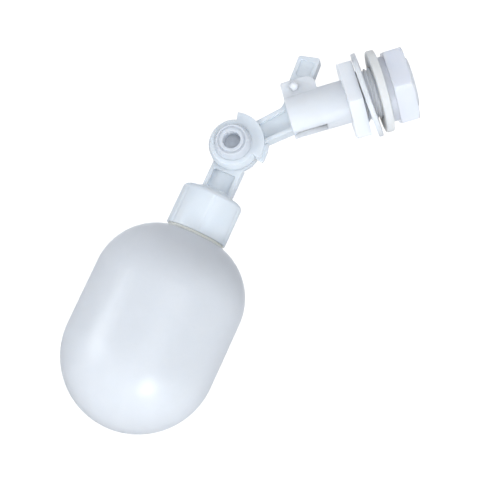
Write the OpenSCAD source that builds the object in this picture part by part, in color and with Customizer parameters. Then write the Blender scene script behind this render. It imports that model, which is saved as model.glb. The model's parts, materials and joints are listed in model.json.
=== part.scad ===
// Adjustable float valve for a small water tank.
// +X runs along the threaded stem towards the supply, +Z is up, and the lever swings in the XZ plane.
// The origin is on the stem axis, at the face of the body hex that clamps on the tank wall.

/* [Stem and nut] */
// Largest radius of the stem thread, G3/8
thread_r = 8.33; // [8.2:0.01:8.4]
// Distance between two thread crests
thread_pitch = 1.337; // [1.2:0.001:1.5]
// Depth of the thread
thread_depth = 0.72; // [0.4:0.02:0.85]
// Length of the stem from the hex face
stem_length = 17; // [15:0.5:20]
// Radius of the inlet bore at the mouth of the stem
inlet_r = 4.6; // [4.5:0.1:5.2]
// Radius of the chamber behind the inlet bore
chamber_r = 4.3; // [4.2:0.05:4.4]
// Width across flats of the lock nut
nut_flats = 22.9; // [21:0.1:24]
// Length of the hex of the lock nut
nut_length = 6.1; // [5:0.1:8]
// Distance from the hex face to the hex of the lock nut
nut_start = 9.9; // [9.8:0.1:11]
// Angle of the lock nut about the stem axis
nut_turn = 19.5; // [0:0.1:60]

/* [Body] */
// Width across flats of the body hex
hex_flats = 24; // [21:0.1:25]
// Length of the body hex
hex_length = 4.6; // [4:0.1:7]
// Outer radius of the barrel
barrel_r = 7; // [6.8:0.1:7.4]
// Inner radius of the barrel
barrel_bore_r = 5.5; // [5.4:0.05:5.6]
// Length from the hex face to the outlet end
barrel_end = 23.4; // [23:0.1:24]
// Angle of the body hex about the stem axis
hex_turn = 21; // [0:0.1:60]
// Height of the ears above the stem axis
ear_top = 10.6; // [10:0.1:12]
// Thickness of an ear
ear_wall = 1.4; // [1.2:0.1:1.8]
// Gap between the ears
ear_gap = 5.8; // [5.6:0.1:6.2]

/* [Washers] */
// Outer radius of the flat washer
flat_washer_r = 13.9; // [12:0.1:14]
// Thickness of the flat washer
flat_washer_t = 1.6; // [1:0.05:1.6]
// Lean of the loose flat washer, its top towards the lever
flat_washer_lean = 2.4; // [0:0.1:2.4]
// Swing of the loose flat washer, its near side towards the lever
flat_washer_swing = 5; // [0:0.1:5]
// Outer radius of the rubber washer
rubber_washer_r = 13.3; // [12:0.1:15]
// Thickness of the rubber washer
rubber_washer_t = 2.5; // [1.5:0.05:2.5]
// Swing of the loose rubber washer, its near side towards the nut
rubber_washer_swing = 1.5; // [0:0.1:1.5]

/* [Lever] */
// Pivot pin, distance behind the hex face
pin_back = 19.25; // [18.75:0.05:19.5]
// Pivot pin, height above the stem axis
pin_up = 8.2; // [8:0.05:8.3]
// Radius of the pivot pin
pin_r = 1.3; // [1.1:0.05:1.4]
// Thickness of the lever and of the float arm
arm_depth = 5; // [4.6:0.1:5.2]
// Width of the lever where it meets its upright root
lever_width = 8.7; // [8.4:0.1:9]
// Slope of the lever's upper edge below level when the valve is open
lever_slope = 12; // [11:0.5:13]
// Angle between the lever's two edges, which close in towards the knuckle
lever_taper = 4.5; // [3:0.5:5]
// Angle that the lever swings from open to closed
lever_swing = 16; // [14:0.5:16]
// Thickness of the flanges along both arms
flange = 1.25; // [1:0.05:1.6]
// Thickness of the web between the flanges
web = 1.8; // [1.4:0.1:2.4]
// Length of the tail bar from the pin, along its middle
tail_length = 11.5; // [10:0.05:12]
// Width of the tail bar
tail_width = 6.9; // [6.4:0.1:7.1]
// Lean of the tail bar from upright
tail_lean = 36; // [33:0.5:37]

/* [Knuckle] */
// Knuckle, distance behind the hex face
knuckle_back = 42.7; // [42:0.1:43]
// Knuckle, depth below the stem axis
knuckle_down = 3.6; // [3.4:0.1:3.8]
// Radius of the lever's disc
disc_r = 8.1; // [8:0.1:8.3]
// Radius of the raised sector beside the disc
lobe_r = 10; // [9.4:0.1:10.4]
// Radius of the stop lug behind the raised sector
lug_r = 11.1; // [10.6:0.1:11.4]
// Radius of the bolt head at the lever
bolt_head_r = 6; // [5.6:0.1:6.2]
// Radius of the socket in the bolt head
bolt_socket_r = 2.85; // [2:0.05:3]
// Radius of the bolt shank
bolt_r = 3.7; // [3.5:0.1:4]

/* [Float arm and float] */
// Direction of the float arm, counted from +X towards +Z
float_turn = 230.5; // [215:0.5:250]
// Width of the float arm
float_arm_width = 10.1; // [8.8:0.1:10.3]
// Distance from the knuckle to the shoulder of the cap
cap_start = 17.2; // [17:0.1:18]
// Length of the cap
cap_length = 14; // [13:0.1:15]
// Radius of the cap
cap_r = 10.1; // [9.8:0.1:10.6]
// Number of grip grooves down the cap
flutes = 6; // [4:1:12]
// Radius of the float
float_r = 24.5; // [22:0.5:26]
// Distance from the knuckle to the bottom of the float
float_bottom = 97.5; // [92:0.5:105]
// Wall of the float
float_wall = 1.3; // [1:0.1:2]

/* [Hidden] */
$fn = 72;

// Shared places. A point in the XZ plane is written [x, z].
pin_at = [-pin_back, pin_up];
knuckle_at = [-knuckle_back, -knuckle_down];
hex_corner = 2 / sqrt(3);
slip = 0.05;             // running clearance on a radius
eps = 0.02;

// Inside the body, all along X
wall_left = -4.5;        // wall between barrel and inlet
wall_right = -1.5;
orifice_r = 2.8;
seat_length = 2.5;
seat_r = 2.4;
seat_lip = 0.55;
lip_end = wall_right + seat_length + seat_lip;
o_ring_at = wall_right + 1.1;
o_ring_r = 0.45;
inlet_step = 9.6;        // where the chamber opens into the inlet bore
inlet_end = stem_length - 0.5;
strainer_at = 8.3;
strainer_t = 1.2;
strainer_hole_r = 0.45;

// Lever nose and the plunger that it pulls
nose_r = 1.5;
half_swing = lever_swing / 2;
nose_reach = pin_up;
nose_at = pin_at + nose_reach * [sin(half_swing), -cos(half_swing)];
stroke = 2 * nose_reach * sin(half_swing);
nose_gap = 0.1;
cradle_wall = 1.45;
cradle_w = 6.4;
cradle_top = 1;
cradle_bottom = -4;
rod_r = 1.4;
spigot_r = 1;
seal_face = lip_end + stroke + 0.06;
seal_washer_t = 0.6;
seal_t = 2;
seal_r = 3.3;
head_t = 1.5;
head_r = 3.7;
guide_from = -11;
guide_to = -6;
guide_r = barrel_bore_r - 0.15;
guide_fin = 1.2;

// Stem, and the loose washers and nut on it
stem_root = 0.5;
flat_washer_at = 2.22;
rubber_washer_at = 6.3;
nut_collar_r = 10.5;
nut_collar_t = 1.92;

// Ears
ear_y = ear_gap / 2 + ear_wall;
ear_front = -12.4;
ear_round = 3;

// Lever
lever_top = 3.75;        // height of the upper edge where it meets the root
root_fillet = 4.2;
root_sink = 0.12;         // how far the hollow curve dips below the edge that it meets
root_x = -23.2;
root_inner_x = -22.2;
pocket_end_x = -23.9;
hub_r = 2.6;
finger_w = 2.2;
finger_depth = 4.4;
tail_shift = 0.86;
tail_slant = 9;          // how far the tip leans from square
tail_chamfer = 0.5;
tail_pocket = 0.35;

// Knuckle, along Y from front to back
disc_front = -4.1;
disc_bevel = -2.2;       // where the disc's rim starts to lean in
disc_front_r = disc_r - 0.8;
disc_back = -0.4;
bolt_head_t = 3.1;
bolt_face = disc_front - bolt_head_t;
bolt_face_r = bolt_head_r - 1.1;
bolt_groove_r = 4.5;
bolt_collar_r = 3.85;
bolt_groove_depth = 0.4;
bolt_socket_depth = 4.6;
lug_t = 1.3;
friction_back = 0.3;
rear_front = 0.4;
rear_back = 3.2;
rear_disc_r = 8.2;
rear_room_r = 9;       // lets the float arm's edges pass behind the lever
knuckle_nut_flats = 11;
knuckle_nut_t = 2.6;

// Float arm and cap, along the arm from the knuckle
float_shift = 0.65;      // the arm's axis passes this far to the right of the knuckle
float_arm_front = 0.4;
float_arm_back = 4.6;
float_arm_web = 1;
float_arm_middle = (float_arm_front + float_arm_back) / 2;
nut_room_r = 8.4;
cap_end = cap_start + cap_length;
cap_round = 1.8;
flute_r = 1.3;
flute_depth = 0.15;
flute_turn = 42;         // the first groove, counted from the near side
gasket_r = 9.5;
crown = 1.5;
neck_r = 7;
neck_top = cap_start + 4;
gasket_t = 0.9;
shoulder_r = 9.9;
shoulder = cap_end + gasket_t;
dome_start = 51.5;
dome_r = ((float_r - shoulder_r) * (float_r - shoulder_r) + (dome_start - shoulder) * (dome_start - shoulder))
    / (2 * (float_r - shoulder_r));

// Extrudes an XZ outline between two places along Y.
module slab(from, to) {
    translate([0, to, 0]) rotate([90, 0, 0]) linear_extrude(to - from) children();
}

// Turns an [r, x] outline about the stem axis: outline X is the radius, outline Y runs along +X.
module turned() {
    rotate([0, 90, 0]) rotate_extrude() children();
}

// A plain round solid on the stem axis.
module rod_x(r, from, to) {
    translate([from, 0, 0]) rotate([0, 90, 0]) cylinder(r = r, h = to - from);
}

// A round solid along Y, centred on a point of the XZ plane.
module rod_y(at, r, from, to) {
    translate([at[0], to, at[1]]) rotate([90, 0, 0]) cylinder(r = r, h = to - from);
}

// A cone along Y, centred on a point of the XZ plane, with its own radius at each end.
module cone_y(at, from_r, to_r, from, to) {
    translate([at[0], to, at[1]]) rotate([90, 0, 0]) cylinder(r1 = to_r, r2 = from_r, h = to - from);
}

// A rectangle with round corners, from one corner to the other.
module round_box(low, high, r) {
    translate([low[0] + r, low[1]]) square([high[0] - low[0] - 2 * r, high[1] - low[1]]);
    translate([low[0], low[1] + r]) square([high[0] - low[0], high[1] - low[1] - 2 * r]);
    for (x = [low[0] + r, high[0] - r], y = [low[1] + r, high[1] - r]) translate([x, y]) circle(r);
}

// A hexagonal prism on the stem axis whose corners are turned down to a cone at both ends.
module hex_x(flats, turn, from, to, left_cut, right_cut) {
    corner = flats / 2 * hex_corner;
    intersection() {
        translate([from, 0, 0]) rotate([0, 90, 0]) rotate([0, 0, 90 + turn])
            cylinder(r = corner, h = to - from, $fn = 6);
        turned() polygon([
            [0, from], [corner - left_cut, from], [corner + eps, from + left_cut * 0.6 + eps],
            [corner + eps, to - right_cut * 0.6 - eps], [corner - right_cut, to], [0, to]
        ]);
    }
}

// Outline of a threaded stem: crests one pitch apart, with a root that sinks into the hex behind it.
module thread_outline(core, from, to) {
    turns = floor((to - from) / thread_pitch);
    points = [for (i = [0 : turns - 1], p = [
        [core, 0.08], [core + thread_depth, 0.42], [core + thread_depth, 0.58], [core, 0.92]
    ]) [p[0], from + (i + p[1]) * thread_pitch]];
    polygon(concat([[0, from - stem_root], [core, from - stem_root]], points, [[core, to], [0, to]]));
}

module valve_body() color("white") difference() {
    union() {
        turned() thread_outline(thread_r - thread_depth, 0, stem_length - 1);
        turned() polygon([
            [0, stem_length - 1.2], [thread_r - 0.25, stem_length - 1.2],
            [thread_r - 0.25, stem_length - 0.35], [thread_r - 0.6, stem_length], [0, stem_length]
        ]);
        hex_x(hex_flats, hex_turn, -hex_length, 0, 0.5, 0.2);
        rod_x(barrel_r, -barrel_end, -hex_length + eps);
        slab(-ear_y, ear_y) ear_outline();
    }
    turned() polygon([
        [0, wall_right], [chamber_r, wall_right], [chamber_r, inlet_step], [inlet_r, inlet_step],
        [inlet_r, inlet_end], [inlet_r + 0.5, stem_length + eps], [0, stem_length + eps]
    ]);
    rod_x(orifice_r, wall_left - 1, wall_right + 1);
    rod_x(barrel_bore_r, -barrel_end - 1, wall_left);
    slab(-ear_gap / 2, ear_gap / 2) translate([-barrel_end - 1, -barrel_r - 1])
        square([barrel_end + 1 + ear_front, barrel_r + ear_top + 2]);
    rod_y(pin_at, pin_r + 0.01, -ear_y - 1, ear_y + 1);
}

module ear_outline() {
    translate([-barrel_end, 0]) square([barrel_end + ear_front, ear_top - ear_round]);
    translate([-barrel_end + 0.8, 0]) square([barrel_end + ear_front - ear_round - 0.8, ear_top]);
    translate([-barrel_end + 0.8, ear_top - 0.8]) circle(0.8);
    translate([-barrel_end, 0]) square([2, ear_top - 0.8]);
    translate([ear_front - ear_round, ear_top - ear_round]) circle(ear_round);
}

module seat_insert() color("ghostwhite") difference() {
    turned() polygon([
        [seat_r, wall_right], [chamber_r - 0.01, wall_right], [chamber_r - 0.01, wall_right + seat_length],
        [seat_r + 0.9, wall_right + seat_length], [seat_r + 0.55, lip_end], [seat_r, lip_end]
    ]);
    turned() translate([chamber_r - 2 * o_ring_r, o_ring_at - o_ring_r - 0.1])
        square([1, 2 * o_ring_r + 0.2]);
}

module seat_o_ring() color("dimgray") turned()
    translate([chamber_r - o_ring_r - 0.01, o_ring_at]) circle(o_ring_r - 0.02);

module inlet_strainer() color("gainsboro") difference() {
    union() {
        rod_x(chamber_r - 0.01, strainer_at, strainer_at + 0.5);
        difference() {
            rod_x(chamber_r - 0.01, strainer_at, strainer_at + strainer_t);
            rod_x(chamber_r - 0.6, strainer_at - 1, strainer_at + strainer_t + 1);
        }
    }
    strainer_hole(0, 0);
    for (i = [0 : 5]) strainer_hole(60 * i, 1.6);
    for (i = [0 : 11]) strainer_hole(30 * i + 15, 3);
}

module strainer_hole(turn, out) {
    rotate([turn, 0, 0]) translate([0, 0, out]) rod_x(strainer_hole_r, strainer_at - 1, strainer_at + 2);
}

module pivot_pin() color("white") {
    rod_y(pin_at, pin_r, -ear_y - 1.3, ear_y + 1.5);
    translate([pin_at[0], -ear_y - 1.3, pin_at[1]]) sphere(r = pin_r);
}

module pin_cap() color("white") difference() {
    rod_y(pin_at, 1.9, ear_y + eps, ear_y + 2.2);
    rod_y(pin_at, pin_r + 0.01, ear_y - 1, ear_y + 1.5);
}

// Tail block with a pocket for the lever's nose, crossed guide fins and a thin rod through the seat.
module plunger() color("whitesmoke") {
    pocket = nose_r + nose_gap;
    tail_left = nose_at[0] - pocket - cradle_wall;
    tail_right = nose_at[0] + pocket + cradle_wall;
    difference() {
        translate([tail_left, -cradle_w / 2, cradle_bottom])
            cube([tail_right - tail_left, cradle_w, cradle_top - cradle_bottom]);
        translate([nose_at[0] - pocket, -cradle_w, nose_at[1] - pocket - nose_gap])
            cube([2 * pocket, 2 * cradle_w, 9]);
    }
    rod_x(2.4, tail_right - eps, guide_from);
    intersection() {
        rod_x(guide_r, guide_from - eps, guide_to);
        union() for (a = [0, 90]) rotate([a, 0, 0])
            translate([guide_from - eps, -guide_fin / 2, -guide_r])
                cube([guide_to - guide_from + eps, guide_fin, 2 * guide_r]);
    }
    rod_x(rod_r, guide_from - eps, seal_face - seal_washer_t);
    rod_x(spigot_r, guide_to, seal_face + seal_t + head_t + 0.4);
}

module seal_washer() color("silver") difference() {
    rod_x(2.1, seal_face - seal_washer_t, seal_face);
    rod_x(spigot_r, seal_face - 2, seal_face + 1);
}

module plunger_seal() color("dimgray") difference() {
    rod_x(seal_r, seal_face, seal_face + seal_t);
    rod_x(spigot_r, seal_face - 1, seal_face + seal_t + 1);
}

module plunger_head() color("whitesmoke") difference() {
    rod_x(head_r, seal_face + 1, seal_face + seal_t + head_t);
    rod_x(seal_r, seal_face, seal_face + seal_t);
    rod_x(spigot_r, seal_face, seal_face + seal_t + head_t + 1);
}

// Puts an outline drawn along an arm at the knuckle: X runs away from the knuckle, Y to its left.
module at_knuckle(turn) {
    translate(knuckle_at) rotate(turn) children();
}

// Heights of the lever's two edges at a distance x along the stem axis.
function upper_edge(x) = lever_top + (x - root_x) * tan(lever_slope);
function lower_edge(x) = lever_top - lever_width + (x - root_x) * tan(lever_slope - lever_taper);

// The lever between two places, with its edges moved in by inset.
module lever_strip(from, to, inset) {
    polygon([
        [from, upper_edge(from) - inset], [to, upper_edge(to) - inset],
        [to, lower_edge(to) + inset], [from, lower_edge(from) + inset]
    ]);
}

// Fills the corner between the lever's upper edge and its hub with a hollow curve.
module lever_root_fillet() {
    along = [cos(lever_slope), sin(lever_slope)];
    up = [-sin(lever_slope), cos(lever_slope)];
    corner = [root_x, lever_top];
    reach = root_fillet / tan((90 + lever_slope) / 2);
    centre = corner - along * reach + root_fillet * up;
    difference() {
        polygon([
            corner - along * reach - up, centre, [root_x, centre[1]], [root_x + 2, centre[1]],
            [root_x + 2, corner[1] - 0.8]
        ]);
        translate(centre + root_sink * [1, -1]) circle(root_fillet);
    }
}

module lever_outline() {
    lever_strip(knuckle_at[0], root_inner_x, 0);
    lever_root_fillet();
    polygon([
        [root_x + 0.4, 2.6], [root_inner_x, 2.6], [pin_at[0] - 1.2, pin_at[1] - hub_r + 0.3], pin_at,
        [pin_at[0], pin_at[1] + hub_r - 0.1], [root_x + 1.6, pin_at[1] + hub_r * 0.5],
        [root_x + 0.4, pin_at[1] - 0.2]
    ]);
    translate(pin_at) circle(hub_r);
}

// The tail bar: X runs along the bar from the pin, Y to its left.
module at_tail() {
    translate(pin_at) rotate(90 - tail_lean) translate([0, -tail_shift]) children();
}

module tail_outline() {
    half = tail_width / 2;
    lean = tan(tail_slant);
    at_tail() {
        polygon([
            [3, -half], [tail_length + lean * half - tail_chamfer, -half],
            [tail_length + lean * (half - tail_chamfer), -half + tail_chamfer],
            [tail_length - lean * (half - tail_chamfer), half - tail_chamfer],
            [tail_length - lean * half - tail_chamfer, half], [3, half]
        ]);
        translate([0, -0.6]) square([5, half + 0.6]);
    }
}

module sector(r, from, to) {
    rim = [for (i = [0 : 24]) let (a = from + (to - from) * i / 24) 2 * r * [cos(a), sin(a)]];
    polygon(concat([[0, 0]], rim));
}

module lever() color("white") difference() {
    union() {
        difference() {
            slab(-arm_depth / 2, arm_depth / 2) union() {
                lever_outline();
                tail_outline();
            }
            for (side = [0, 1]) mirror([0, side, 0]) {
                slab(-arm_depth, -web / 2) difference() {
                    lever_strip(knuckle_at[0], pocket_end_x, flange);
                    translate(knuckle_at) circle(disc_r + 0.6);
                }
                slab(-arm_depth, -arm_depth / 2 + tail_pocket) at_tail()
                    round_box([4.4, -tail_width / 2 + 1.2], [tail_length - 1.5, tail_width / 2 - 1.2], 0.5);
            }
            rod_y(knuckle_at, rear_room_r, disc_back, arm_depth);
            rod_y(knuckle_at, disc_r - 1, -arm_depth, arm_depth);
        }
        rod_y(knuckle_at, disc_r, disc_bevel, disc_back);
        cone_y(knuckle_at, disc_front_r, disc_r, disc_front, disc_bevel);
        slab(disc_front, disc_back) translate(knuckle_at) intersection() {
            circle(lobe_r);
            sector(lobe_r, -48, 66);
        }
        slab(disc_back - lug_t, disc_back) translate(knuckle_at) intersection() {
            circle(lug_r);
            sector(lug_r, -50, -17);
        }
        finger();
    }
    rod_y(knuckle_at, bolt_r + 0.01, disc_front - 1, disc_back + 1);
    rod_y(pin_at, pin_r + slip, -arm_depth, arm_depth);
}

// The finger hangs from the hub and ends in a round nose inside the plunger's pocket.
module finger() {
    slab(-finger_depth / 2, finger_depth / 2) translate(pin_at) rotate(half_swing - 90)
        translate([0, -finger_w / 2]) square([nose_reach, finger_w]);
    rod_y(nose_at, nose_r, -finger_depth / 2, finger_depth / 2);
}

module knuckle_bolt() color("white") difference() {
    union() {
        cone_y(knuckle_at, bolt_face_r, bolt_head_r, bolt_face, disc_front);
        rod_y(knuckle_at, bolt_r, disc_front - eps, rear_back + 0.1 + knuckle_nut_t + 0.5);
    }
    rod_y(knuckle_at, bolt_socket_r, bolt_face - 1, bolt_face + bolt_socket_depth);
    difference() {
        rod_y(knuckle_at, bolt_groove_r, bolt_face - 1, bolt_face + bolt_groove_depth);
        rod_y(knuckle_at, bolt_collar_r, bolt_face - 2, bolt_face + bolt_groove_depth + 1);
    }
}

module knuckle_washer() color("ivory") difference() {
    rod_y(knuckle_at, 6.4, disc_back, friction_back);
    rod_y(knuckle_at, bolt_r + 0.01, disc_back - 1, friction_back + 1);
}

module knuckle_nut() color("white") difference() {
    translate([knuckle_at[0], rear_back + 0.1 + knuckle_nut_t, knuckle_at[1]]) rotate([90, 0, 0])
        cylinder(r = knuckle_nut_flats / 2 * hex_corner, h = knuckle_nut_t, $fn = 6);
    rod_y(knuckle_at, bolt_r + 0.01, rear_back - 1, 12);
}

// Puts an outline drawn along the float arm on its axis: X runs away from the knuckle, Y to its left.
module at_float_arm() {
    at_knuckle(float_turn) translate([0, float_shift]) children();
}

// Puts a solid drawn about +Z on the float arm's axis, with Z running away from the knuckle.
module on_float_axis() {
    translate([knuckle_at[0], 0, knuckle_at[1]]) rotate([0, 90 - float_turn, 0])
        translate([-float_shift, 0, 0]) children();
}

module float_arm() color("white") difference() {
    union() {
        difference() {
            slab(float_arm_front, float_arm_back) at_float_arm()
                translate([0, -float_arm_width / 2]) square([cap_start, float_arm_width]);
            float_arm_pocket(float_arm_front - 1, float_arm_middle - float_arm_web / 2);
            float_arm_pocket(float_arm_middle + float_arm_web / 2, float_arm_back + 1);
            rod_y(knuckle_at, nut_room_r, rear_back, float_arm_back + 1);
        }
        rod_y(knuckle_at, rear_disc_r, rear_front, rear_back);
        on_float_axis() cap();
    }
    rod_y(knuckle_at, bolt_r + slip, -arm_depth, arm_depth * 2);
}

module float_arm_pocket(from, to) {
    half = float_arm_width / 2 - flange;
    slab(from, to) at_float_arm() round_box([disc_r + 0.9, -half], [cap_start - 0.4, half], 0.8);
}

module cap() {
    difference() {
        rotate_extrude() difference() {
            union() {
                translate([0, cap_start]) square([cap_r - cap_round, cap_length]);
                translate([0, cap_start + cap_round]) square([cap_r, cap_length - cap_round]);
                translate([cap_r - cap_round, cap_start + cap_round]) circle(cap_round);
                polygon([
                    [0, cap_start - crown], [4, cap_start - crown], [cap_r - cap_round, cap_start],
                    [cap_r - cap_round, cap_start + 1], [0, cap_start + 1]
                ]);
            }
            translate([-1, neck_top]) square([neck_r + 1.11, cap_length]);
        }
        for (i = [0 : flutes - 1]) rotate(360 / flutes * i - 90 + flute_turn)
            translate([cap_r - flute_depth + flute_r, 0, cap_start + 1.6])
                cylinder(r = flute_r, h = cap_length);
    }
}

module cap_gasket() color("cornsilk") on_float_axis() rotate_extrude()
    translate([neck_r + 0.1, cap_end]) square([gasket_r - neck_r - 0.1, gasket_t]);

// Half section of the float: r is how far the wall is moved inwards.
module float_section(inset) {
    bottom_at = float_bottom - float_r;
    intersection() {
        translate([0, shoulder + inset]) square([float_r - inset, dome_start - shoulder - inset + eps]);
        union() {
            translate([float_r - dome_r, dome_start]) circle(dome_r - inset, $fn = 144);
            square([float_r - dome_r, 60]);
        }
    }
    translate([0, dome_start]) square([float_r - inset, bottom_at - dome_start]);
    intersection() {
        translate([0, bottom_at - eps]) square([float_r, float_r + 1]);
        translate([0, bottom_at]) circle(float_r - inset, $fn = 144);
    }
}

module float_shell() color("mintcream") on_float_axis() rotate_extrude() difference() {
    union() {
        float_section(0);
        translate([0, neck_top + 1]) square([neck_r, shoulder - neck_top]);
    }
    float_section(float_wall);
    translate([-1, neck_top]) square([neck_r - 1.5 + 1, shoulder - neck_top + 3]);
}

module neck_plug() color("white") on_float_axis() rotate_extrude() {
    translate([0, neck_top + 2]) square([neck_r - 1.52, 3]);
    translate([0, neck_top + 0.3]) square([neck_r, 0.68]);
    translate([0, neck_top + 0.5]) square([neck_r - 1.52, 2]);
}

module flat_washer() color("white") translate([flat_washer_at, 0, 0])
    rotate([0, -flat_washer_lean, -flat_washer_swing]) difference() {
        rod_x(flat_washer_r, -flat_washer_t / 2, flat_washer_t / 2);
        rod_x(thread_r + 0.5, -3, 3);
    }

module rubber_washer() color("linen") translate([rubber_washer_at, 0, 0])
    rotate([0, 0, rubber_washer_swing]) difference() {
        rod_x(rubber_washer_r, -rubber_washer_t / 2, rubber_washer_t / 2);
        rod_x(thread_r + 0.2, -3, 3);
    }

module lock_nut() color("white") difference() {
    union() {
        hex_x(nut_flats, nut_turn, nut_start, nut_start + nut_length, 0.7, 1.2);
        rod_x(nut_collar_r, nut_start - nut_collar_t, nut_start + 1);
    }
    rod_x(thread_r + 0.07, nut_start - 3, nut_start + nut_length + 3);
    turned() polygon([
        [0, nut_start + nut_length - 0.6], [thread_r, nut_start + nut_length - 0.6],
        [thread_r + 0.7, nut_start + nut_length + eps], [0, nut_start + nut_length + eps]
    ]);
}

valve_body();
seat_insert();
seat_o_ring();
inlet_strainer();
pivot_pin();
pin_cap();
plunger();
seal_washer();
plunger_seal();
plunger_head();
lever();
knuckle_bolt();
knuckle_washer();
knuckle_nut();
float_arm();
cap_gasket();
float_shell();
neck_plug();
flat_washer();
rubber_washer();
lock_nut();
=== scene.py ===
"""A white plastic float valve, dressed in moulded plastic, soft rubber and a milky float.

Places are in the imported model's frame, in metres: +X along the stem and +Z up, with the lever swinging in
the XZ plane. Small sizes are named in millimetres and multiplied by MM where they are used.
"""
import json
import math
import bpy
import bmesh
from mathutils import Matrix, Vector


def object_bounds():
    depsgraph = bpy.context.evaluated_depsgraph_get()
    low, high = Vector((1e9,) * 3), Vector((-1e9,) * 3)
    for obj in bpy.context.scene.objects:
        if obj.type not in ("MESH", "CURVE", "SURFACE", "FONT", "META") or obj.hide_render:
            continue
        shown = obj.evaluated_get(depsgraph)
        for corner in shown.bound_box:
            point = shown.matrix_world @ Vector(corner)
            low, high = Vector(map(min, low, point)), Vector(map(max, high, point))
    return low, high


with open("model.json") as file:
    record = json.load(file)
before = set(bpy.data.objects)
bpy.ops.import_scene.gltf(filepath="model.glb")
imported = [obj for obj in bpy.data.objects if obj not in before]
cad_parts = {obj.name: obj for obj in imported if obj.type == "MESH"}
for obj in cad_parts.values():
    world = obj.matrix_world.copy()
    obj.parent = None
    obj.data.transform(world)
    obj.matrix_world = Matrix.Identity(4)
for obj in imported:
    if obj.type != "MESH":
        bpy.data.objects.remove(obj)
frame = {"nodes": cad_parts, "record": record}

MM = 0.001
NODES = frame["nodes"]
CAD_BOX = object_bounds()


# ---------------------------------------------------------------- shader helpers

# The Mix node's float, vector and colour sockets share their names, so its colour sockets go by number.
MIX_FACTOR, MIX_FIRST, MIX_SECOND, MIX_RESULT = 0, 6, 7, 2


def opaque(colour, factor=1.0):
    """A colour as a shader socket takes it, made darker by a factor below 1."""
    return tuple(part * factor for part in colour) + (1.0,)


def feed(tree, socket, value):
    """Links a socket to another one, or sets it to a constant."""
    if isinstance(value, bpy.types.NodeSocket):
        tree.links.new(value, socket)
    else:
        socket.default_value = value


def node(tree, kind, settings=None, **inputs):
    """A new shader node with its settings, and with its named inputs linked or set."""
    made = tree.nodes.new(kind)
    for key, value in (settings or {}).items():
        setattr(made, key, value)
    for key, value in inputs.items():
        feed(tree, made.inputs[key.replace("_", " ")], value)
    return made


def noise(tree, place, scale, detail=2.0, distortion=0.0):
    """Smooth noise between 0 and 1, with about as many spots to a metre as the scale says."""
    made = node(tree, "ShaderNodeTexNoise", Vector=place, Scale=scale, Detail=detail, Distortion=distortion)
    return made.outputs["Fac"]


def remap(tree, value, limits, results=(0.0, 1.0)):
    """A value between the limits, moved to between the results and kept there."""
    made = node(
        tree, "ShaderNodeMapRange",
        Value=value, From_Min=limits[0], From_Max=limits[1], To_Min=results[0], To_Max=results[1],
    )
    return made.outputs["Result"]


def blend_colours(tree, factor, first, second):
    """The first colour where the factor is 0 and the second where it is 1."""
    made = node(tree, "ShaderNodeMix", {"data_type": "RGBA"})
    for number, value in ((MIX_FACTOR, factor), (MIX_FIRST, first), (MIX_SECOND, second)):
        feed(tree, made.inputs[number], value)
    return made.outputs[MIX_RESULT]


def bump(tree, height, distance, normal=None):
    """A surface that seems to rise and fall by the distance, on top of the normal it is given."""
    made = node(tree, "ShaderNodeBump", Height=height, Distance=distance)
    if normal is not None:
        feed(tree, made.inputs["Normal"], normal)
    return made.outputs["Normal"]


def new_material(name):
    """A material, its node tree, its shader and the coordinates of the piece that has it."""
    material = bpy.data.materials.new(name)
    material.use_nodes = True
    tree = material.node_tree
    place = node(tree, "ShaderNodeTexCoord").outputs["Object"]
    return material, tree, tree.nodes["Principled BSDF"], place


# ---------------------------------------------------------------- plastic

# Spots to a metre: dull clouds in the colour, the broad unevenness of the surface, patches of rougher
# surface, small specks in the colour, and the fine grain of the mould.
CLOUD_SCALE = 70.0
WAVE_SCALE = 110.0
SHEEN_SCALE = 260.0
SPECK_SCALE = 900.0
GRAIN_SCALE = 5200.0

# The part of each noise's range that is used, from its least to its greatest effect.
CLOUD_LIMITS = (0.38, 0.68)
SHEEN_LIMITS = (0.3, 0.7)
SPECK_LIMITS = (0.55, 0.90)

CLOUD_DETAIL = 4.0
CLOUD_DISTORTION = 0.4
SHEEN_DETAIL = 5.0
SPECK_AMOUNT = 0.2
SPECK_TINT = 0.93

# Handling marks are a noise that is long one way and narrow across (spots to a metre), turned twice by some
# radians about each axis.
SCRATCH_TURNS = (0.5, 2.2)
SCRATCH_AXES = (0.3, 1.0, 0.7)
SCRATCH_SCALES = (60.0, 1900.0, 1900.0)
SCRATCH_LIMITS = (0.70, 0.78)

ROUNDING_SAMPLES = 6
PLASTIC_IOR = 1.49
# How far red, green and blue light go in, as parts of the radius.
COLOUR_REACH = (1.0, 0.92, 0.84)


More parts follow.
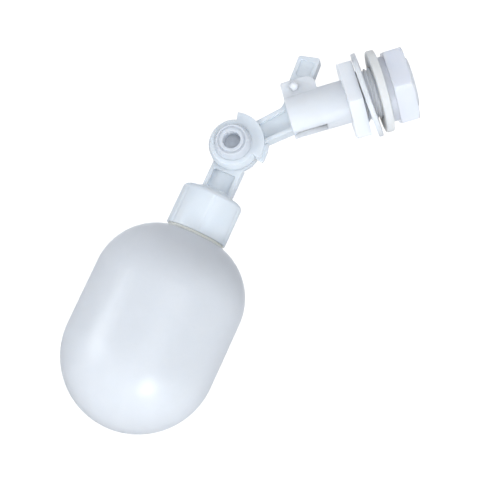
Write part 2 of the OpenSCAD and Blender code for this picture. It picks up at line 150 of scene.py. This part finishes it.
def plastic(
    name, colour, shade, rough, grain=0.006, waviness=0.03, depth=0.0, radius=1.5, edge=0.25, scratches=0.0
):
    """Moulded plastic or rubber.

    shade is the colour of its duller clouds, and rough its lowest and highest roughness. depth is the share
    of the light that goes in. The rest are in mm: grain and waviness are the heights of the fine and the
    broad unevenness, radius is how far the light goes in, edge is the radius of the edges, and scratches is
    the height of the handling marks.
    """
    material, tree, shader, place = new_material(name)
    clouds = remap(tree, noise(tree, place, CLOUD_SCALE, CLOUD_DETAIL, CLOUD_DISTORTION), CLOUD_LIMITS)
    specks = remap(tree, noise(tree, place, SPECK_SCALE), SPECK_LIMITS, (0.0, SPECK_AMOUNT))
    colours = blend_colours(tree, clouds, opaque(colour), opaque(shade))
    colours = blend_colours(tree, specks, colours, opaque(shade, SPECK_TINT))
    sheen = remap(tree, noise(tree, place, SHEEN_SCALE, SHEEN_DETAIL), SHEEN_LIMITS, rough)
    normal = node(tree, "ShaderNodeBevel", {"samples": ROUNDING_SAMPLES}, Radius=edge * MM).outputs["Normal"]
    normal = bump(tree, noise(tree, place, WAVE_SCALE), waviness * MM, normal)
    normal = bump(tree, noise(tree, place, GRAIN_SCALE), grain * MM, normal)
    if scratches:
        normal = bump(tree, scratch_height(tree, place), scratches * MM, normal)
    feed(tree, shader.inputs["Base Color"], colours)
    feed(tree, shader.inputs["Roughness"], sheen)
    feed(tree, shader.inputs["Normal"], normal)
    feed(tree, shader.inputs["Subsurface Weight"], depth)
    feed(tree, shader.inputs["Subsurface Radius"], COLOUR_REACH)
    feed(tree, shader.inputs["Subsurface Scale"], radius * MM)
    feed(tree, shader.inputs["IOR"], PLASTIC_IOR)
    return material


def scratch_height(tree, place):
    """Thin lines in two directions, as handling leaves them."""
    deeper = node(tree, "ShaderNodeMath", {"operation": "MAXIMUM"})
    for socket, turn in zip(deeper.inputs, SCRATCH_TURNS):
        rotation = [turn * part for part in SCRATCH_AXES]
        turned = node(tree, "ShaderNodeMapping", Vector=place, Rotation=rotation, Scale=SCRATCH_SCALES)
        lines = noise(tree, turned.outputs["Vector"], scale=1.0, detail=1.0)
        feed(tree, socket, remap(tree, lines, SCRATCH_LIMITS))
    return deeper.outputs[0]


# ---------------------------------------------------------------- metal

STEEL_GRAIN_SCALE = 2500.0
STEEL_GRAIN_DETAIL = 3.0
STEEL_GRAIN_LIMITS = (0.3, 0.7)
STEEL_GRAIN_HEIGHT = 0.004
STEEL_GRAIN_TINT = 0.82


def steel(name, colour, rough):
    """Stamped steel with a fine grain, rough being its lowest and highest roughness."""
    material, tree, shader, place = new_material(name)
    grain = noise(tree, place, STEEL_GRAIN_SCALE, STEEL_GRAIN_DETAIL)
    colours = blend_colours(tree, grain, opaque(colour), opaque(colour, STEEL_GRAIN_TINT))
    feed(tree, shader.inputs["Base Color"], colours)
    feed(tree, shader.inputs["Roughness"], remap(tree, grain, STEEL_GRAIN_LIMITS, rough))
    feed(tree, shader.inputs["Normal"], bump(tree, grain, STEEL_GRAIN_HEIGHT * MM))
    feed(tree, shader.inputs["Metallic"], 1.0)
    return material


# ---------------------------------------------------------------- materials

BODY_WHITE = (0.87, 0.875, 0.90)
BODY_SHADE = (0.84, 0.85, 0.88)

MATERIALS = {
    "white_acetal": plastic(
        "body_plastic", BODY_WHITE, BODY_SHADE, rough=(0.30, 0.42),
        depth=0.8, radius=4.0, edge=0.3, scratches=0.004,
    ),
    "white_arm": plastic(
        "arm_plastic", (0.785, 0.82, 0.85), (0.745, 0.785, 0.825), rough=(0.28, 0.40),
        depth=0.6, edge=0.25, scratches=0.004,
    ),
    "pin_plastic": plastic(
        "pin_plastic", (0.84, 0.85, 0.87), BODY_WHITE, rough=(0.2, 0.3),
        depth=0.2, edge=0.15,
    ),
    "bolt_plastic": plastic(
        "bolt_plastic", (0.71, 0.735, 0.775), (0.68, 0.705, 0.75), rough=(0.24, 0.34),
        depth=0.5, edge=0.3,
    ),
    "seat_plastic": plastic(
        "seat_plastic", (0.78, 0.78, 0.77), (0.72, 0.72, 0.71), rough=(0.3, 0.4),
        edge=0.1,
    ),
    "friction_washer": plastic(
        "washer_plastic", (0.74, 0.73, 0.68), (0.68, 0.67, 0.62), rough=(0.5, 0.6),
        edge=0.1,
    ),
    "milky_float": plastic(
        "float_plastic", (0.79, 0.79, 0.81), (0.765, 0.77, 0.79), rough=(0.29, 0.38),
        grain=0.003, depth=0.6, radius=6.0, edge=0.3,
    ),
    "pale_rubber": plastic(
        "pale_rubber", (0.84, 0.82, 0.785), (0.79, 0.77, 0.73), rough=(0.55, 0.7),
        grain=0.012, depth=1.0, radius=6.0, edge=0.25,
    ),
    "nylon": plastic(
        "nylon", BODY_WHITE, BODY_SHADE, rough=(0.34, 0.46),
        depth=1.0, radius=6.0, edge=0.25, scratches=0.004,
    ),
    # Painted shade: the nut is the body's white plastic, made darker and bluer to stand in for the shade it
    # is in.
    "nut_painted_shade": plastic(
        "nut_painted_shade", (0.80, 0.81, 0.865), (0.775, 0.785, 0.845), rough=(0.30, 0.42),
        depth=0.8, radius=4.0, edge=0.3, scratches=0.004,
    ),
    "cream_gasket": plastic(
        "cream_gasket", (0.92, 0.90, 0.80), (0.88, 0.86, 0.75), rough=(0.5, 0.6),
        grain=0.01, depth=0.5, edge=0.1,
    ),
    "black_rubber": plastic(
        "black_rubber", (0.02, 0.02, 0.021), (0.03, 0.03, 0.03), rough=(0.45, 0.6),
        grain=0.01, edge=0.1,
    ),
    "washer_steel": steel("washer_steel", (0.6, 0.61, 0.62), rough=(0.28, 0.42)),
}

# Pieces of the body's slot with their own materials: nylon for the washer, and for the nut a darker, bluer
# copy of the body's white that is painted shade.
OWN_MATERIALS = {"flat_washer": "nylon", "lock_nut": "nut_painted_shade"}


def dress_cad_nodes():
    """Gives each piece its own material, or else its slot's."""
    slots = {part["node"]: part["material_slot"] for part in frame["record"]["subparts"]}
    slots.update(OWN_MATERIALS)
    for name, piece in NODES.items():
        piece.data.materials.clear()
        piece.data.materials.append(MATERIALS[slots[name]])


# ---------------------------------------------------------------- softened edges

# How far the edges of each piece are cut back, in mm.
EDGE_WIDTHS = {
    "valve_body": 0.25,
    "lock_nut": 0.35,
    "flat_washer": 0.3,
    "rubber_washer": 0.4,
    "float_arm": 0.15,
    "knuckle_bolt": 0.35,
    "knuckle_nut": 0.3,
    "cap_gasket": 0.2,
    "pin_cap": 0.3,
}
EDGE_SEGMENTS = 2
SHARP_ANGLE = 35.0
WELD_DISTANCE = 0.0005


def soften_edges():
    """Rounds the sharp edges of the pieces by modifiers, as a mould leaves them."""
    for name, width in EDGE_WIDTHS.items():
        weld = NODES[name].modifiers.new("weld", "WELD")
        weld.merge_threshold = WELD_DISTANCE * MM
        bevel = NODES[name].modifiers.new("rounded", "BEVEL")
        bevel.width = width * MM
        bevel.segments = EDGE_SEGMENTS
        bevel.limit_method = "ANGLE"
        bevel.angle_limit = math.radians(SHARP_ANGLE)
        bevel.use_clamp_overlap = True
        bevel.miter_outer = "MITER_ARC"


# ---------------------------------------------------------------- camera

# The view goes along +Y from a little below, and is rolled so that the stem rises to the right.
CAMERA_AZIMUTH = 5.0
CAMERA_ELEVATION = -13.43
CAMERA_ROLL = -15.0
CAMERA_AIM = Vector((-48.9, 0.0, -33.88)) * MM
CAMERA_DISTANCE = 353.3 * MM
CAMERA_LENS = 84.25
CAMERA_SENSOR = 36.0
CAMERA_NEAREST = 0.01


def camera_axes():
    """The camera's right, up and forward directions."""
    azimuth = math.radians(CAMERA_AZIMUTH)
    elevation = math.radians(CAMERA_ELEVATION)
    roll = math.radians(CAMERA_ROLL)
    level = math.cos(elevation)
    forward = Vector((-math.sin(azimuth) * level, math.cos(azimuth) * level, -math.sin(elevation)))
    right = forward.cross(Vector((0, 0, 1))).normalized()
    up = right.cross(forward)
    return (
        right * math.cos(roll) + up * math.sin(roll),
        up * math.cos(roll) - right * math.sin(roll),
        forward,
    )


def add_camera(right, up, forward):
    data = bpy.data.cameras.new("camera")
    data.sensor_width = CAMERA_SENSOR
    data.lens = CAMERA_LENS
    data.clip_start = CAMERA_NEAREST
    camera = bpy.data.objects.new("camera", data)
    turn = Matrix((right, up, -forward)).transposed().to_4x4()
    camera.matrix_world = Matrix.Translation(CAMERA_AIM - forward * CAMERA_DISTANCE) @ turn
    bpy.context.scene.collection.objects.link(camera)
    bpy.context.scene.camera = camera


# ---------------------------------------------------------------- floor

FLOOR_DROP = 0.40
FLOOR_RADIUS = 2.6
FLOOR_SIDES = 96
FLOOR_GREY = (0.9, 0.9, 0.9)
FLOOR_ROUGHNESS = 0.9


def add_floor():
    """A pale floor well below the valve, which hangs from its tank wall."""
    mesh = bpy.data.meshes.new("floor")
    form = bmesh.new()
    bmesh.ops.create_circle(form, cap_ends=True, segments=FLOOR_SIDES, radius=FLOOR_RADIUS)
    form.to_mesh(mesh)
    form.free()
    floor = bpy.data.objects.new("floor", mesh)
    floor.location = (0.0, 0.0, CAD_BOX[0][2] - FLOOR_DROP)
    material = bpy.data.materials.new("floor")
    material.use_nodes = True
    shader = material.node_tree.nodes["Principled BSDF"]
    shader.inputs["Base Color"].default_value = opaque(FLOOR_GREY)
    shader.inputs["Roughness"].default_value = FLOOR_ROUGHNESS
    mesh.materials.append(material)
    bpy.context.scene.collection.objects.link(floor)


# ---------------------------------------------------------------- room

PLAIN_WHITE = (1.0, 1.0, 1.0)
PLAIN_STRENGTH = 1.15
ROOM_TOP = (0.43, 0.45, 0.485)
ROOM_BOTTOM = (0.53, 0.55, 0.58)
# The colour goes from bottom to top between these heights of the direction that the light comes from.
ROOM_HEIGHTS = (-0.6, 0.6)
# The strength falls from the middle to both ends between these parts of the direction along X.
ROOM_ASIDE = (0.15, 0.65)
ROOM_STRENGTHS = (1.45, 0.75)


def add_world():
    """A room that is plain white to the camera, and lights the valve less from above and from both ends."""
    world = bpy.data.worlds.new("room")
    bpy.context.scene.world = world
    world.use_nodes = True
    tree = world.node_tree
    tree.nodes.clear()
    seen = node(tree, "ShaderNodeBackground", Color=opaque(PLAIN_WHITE), Strength=PLAIN_STRENGTH)
    ways = node(tree, "ShaderNodeSeparateXYZ", Vector=node(tree, "ShaderNodeTexCoord").outputs["Generated"])
    height = remap(tree, ways.outputs["Z"], ROOM_HEIGHTS)
    shade = blend_colours(tree, height, opaque(ROOM_BOTTOM), opaque(ROOM_TOP))
    aside = node(tree, "ShaderNodeMath", {"operation": "ABSOLUTE"})
    feed(tree, aside.inputs[0], ways.outputs["X"])
    strength = remap(tree, aside.outputs[0], ROOM_ASIDE, ROOM_STRENGTHS)
    lit = node(tree, "ShaderNodeBackground", Color=shade, Strength=strength)
    mix = node(tree, "ShaderNodeMixShader")
    sources = (node(tree, "ShaderNodeLightPath").outputs["Is Camera Ray"], lit.outputs[0], seen.outputs[0])
    for socket, source in zip(mix.inputs, sources):
        feed(tree, socket, source)
    node(tree, "ShaderNodeOutputWorld", Surface=mix.outputs[0])


# ---------------------------------------------------------------- lights

COOL_WHITE = (0.90, 0.955, 1.0)

STEM = Vector((6.0, -10.0, 0.0)) * MM
VALVE = Vector((-10.0, 0.0, 0.0)) * MM
MIDDLE = Vector((-50.0, 0.0, -35.0)) * MM
FLOAT_END = Vector((-89.0, 0.0, -60.0)) * MM

# Each soft box: its name, the place it faces, the way to it from there as parts to the right, up and towards
# the camera, its distance, its width and height, and how brightly its face shines.
LIGHTS = (
    ("front_key", MIDDLE, (0.30, 0.0, 1.0), 0.60, (0.34, 0.34), 1.7),
    ("low_key", VALVE, (0.0, -1.0, 0.55), 0.34, (0.30, 0.22), 0.9),
    ("stem_side", STEM, (0.75, 0.0, 0.65), 0.16, (0.12, 0.12), 1.3),
    ("back_fill", MIDDLE, (0.0, 0.1, -1.0), 0.80, (0.60, 0.60), 0.7),
    ("gap_above", STEM, (0.0, 1.0, 0.35), 0.10, (0.03, 0.06), 0.9),
    ("float_low", FLOAT_END, (0.25, -0.64, 0.73), 0.26, (0.08, 0.08), 13.0),
    ("float_side", FLOAT_END, (-0.78, 0.24, 0.50), 0.20, (0.09, 0.13), 5.2),
)


def area_light(name, aim, direction, distance, size, radiance):
    """A soft box that faces the aim from a direction, hidden from the camera."""
    width, height = size
    data = bpy.data.lights.new(name, "AREA")
    data.shape = "RECTANGLE"
    data.size = width
    data.size_y = height
    data.energy = radiance * math.pi * width * height
    data.color = COOL_WHITE
    lamp = bpy.data.objects.new(name, data)
    place = aim + direction.normalized() * distance
    turn = (aim - place).to_track_quat("-Z", "Y").to_matrix().to_4x4()
    lamp.matrix_world = Matrix.Translation(place) @ turn
    lamp.visible_camera = False
    bpy.context.scene.collection.objects.link(lamp)


def add_lights(right, up, forward):
    for name, aim, (aside, above, nearer), distance, size, radiance in LIGHTS:
        direction = right * aside + up * above - forward * nearer
        area_light(name, aim, direction, distance, size, radiance)


# ---------------------------------------------------------------- the scene

dress_cad_nodes()
soften_edges()
add_floor()
add_world()
add_camera(*camera_axes())
add_lights(*camera_axes())
view = bpy.context.scene.view_settings
view.view_transform = "Standard"
view.look = "None"
